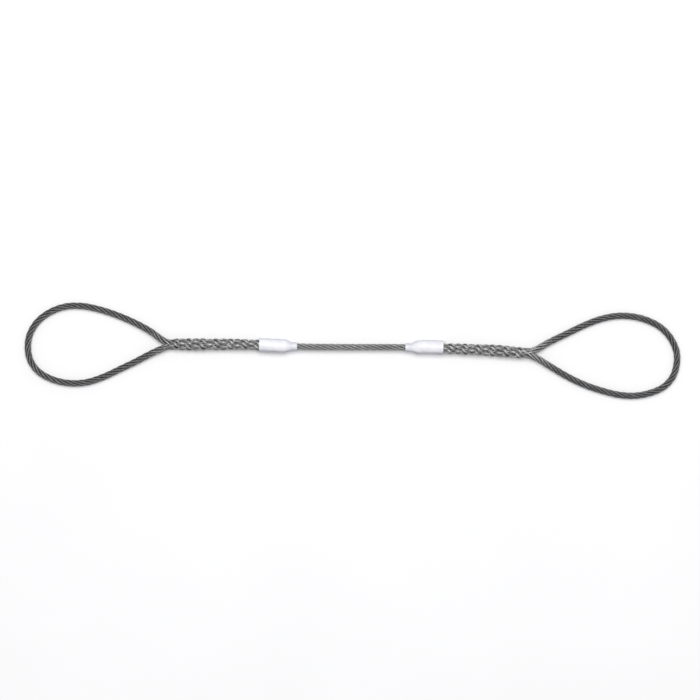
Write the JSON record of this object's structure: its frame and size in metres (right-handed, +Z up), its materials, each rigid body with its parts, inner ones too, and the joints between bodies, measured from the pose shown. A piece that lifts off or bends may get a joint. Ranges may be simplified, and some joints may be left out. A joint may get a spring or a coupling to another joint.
{
  "type": "wire rope sling",
  "caption": "Hand-spliced wire rope lifting sling: a soft eye at each end, woven splices with white sleeves over the strand ends, lying flat.",
  "frame": {"origin": "on the floor under the middle of the sling as it lies flat", "axes": "+X along the sling towards its right eye, +Z up out of the plane it lies in"},
  "size_m": [1.0124, 0.1486, 0.0214],
  "materials": {
    "rope_steel": "drawn galvanised wire, lightly greased",
    "tucked_strand_steel": "drawn galvanised wire, lightly greased",
    "fibre_core": "laid hemp, soaked in grease",
    "sleeve_plastic": "white shrink tube, semi-gloss"
  },
  "bodies": {
    "middle": {"middle_rope": "rope_steel", "middle_core": "fibre_core"},
    "left_splice": {"left_tail_leg_rope": "rope_steel", "left_tail_leg_core": "fibre_core", "left_standing_rope": "rope_steel", "left_standing_core": "fibre_core", "left_tucked_strand_1": "tucked_strand_steel", "left_tucked_strand_2": "tucked_strand_steel", "left_tucked_strand_3": "tucked_strand_steel", "left_tucked_strand_4": "tucked_strand_steel", "left_tucked_strand_5": "tucked_strand_steel", "left_tucked_strand_6": "tucked_strand_steel", "left_sleeve": "sleeve_plastic"},
    "left_eye": {"left_eye_rope": "rope_steel", "left_eye_core": "fibre_core"},
    "right_splice": {"right_tail_leg_rope": "rope_steel", "right_tail_leg_core": "fibre_core", "right_standing_rope": "rope_steel", "right_standing_core": "fibre_core", "right_tucked_strand_1": "tucked_strand_steel", "right_tucked_strand_2": "tucked_strand_steel", "right_tucked_strand_3": "tucked_strand_steel", "right_tucked_strand_4": "tucked_strand_steel", "right_tucked_strand_5": "tucked_strand_steel", "right_tucked_strand_6": "tucked_strand_steel", "right_sleeve": "sleeve_plastic"},
    "right_eye": {"right_eye_rope": "rope_steel", "right_eye_core": "fibre_core"}
  },
  "joints": [
    {"name": "left_rope_bend", "type": "hinge", "parent": "middle", "child": "left_splice", "pos_m": [-0.043, 0.0057, 0.0107], "axis": [0, 1, 0], "range_deg": [0, 35], "stiffness_Nm_per_rad": 0.7},
    {"name": "left_eye_lift", "type": "hinge", "parent": "left_splice", "child": "left_eye", "pos_m": [-0.321, 0.0128, 0.00701], "axis": [0, 1, 0], "range_deg": [0, 30], "stiffness_Nm_per_rad": 1},
    {"name": "right_rope_bend", "type": "hinge", "parent": "middle", "child": "right_splice", "pos_m": [0.043, 0.0055, 0.0107], "axis": [0, -1, 0], "range_deg": [0, 35], "stiffness_Nm_per_rad": 0.7},
    {"name": "right_eye_lift", "type": "hinge", "parent": "right_splice", "child": "right_eye", "pos_m": [0.311, -0.0053, 0.00706], "axis": [0, -1, 0], "range_deg": [0, 30], "stiffness_Nm_per_rad": 1}
  ]
}
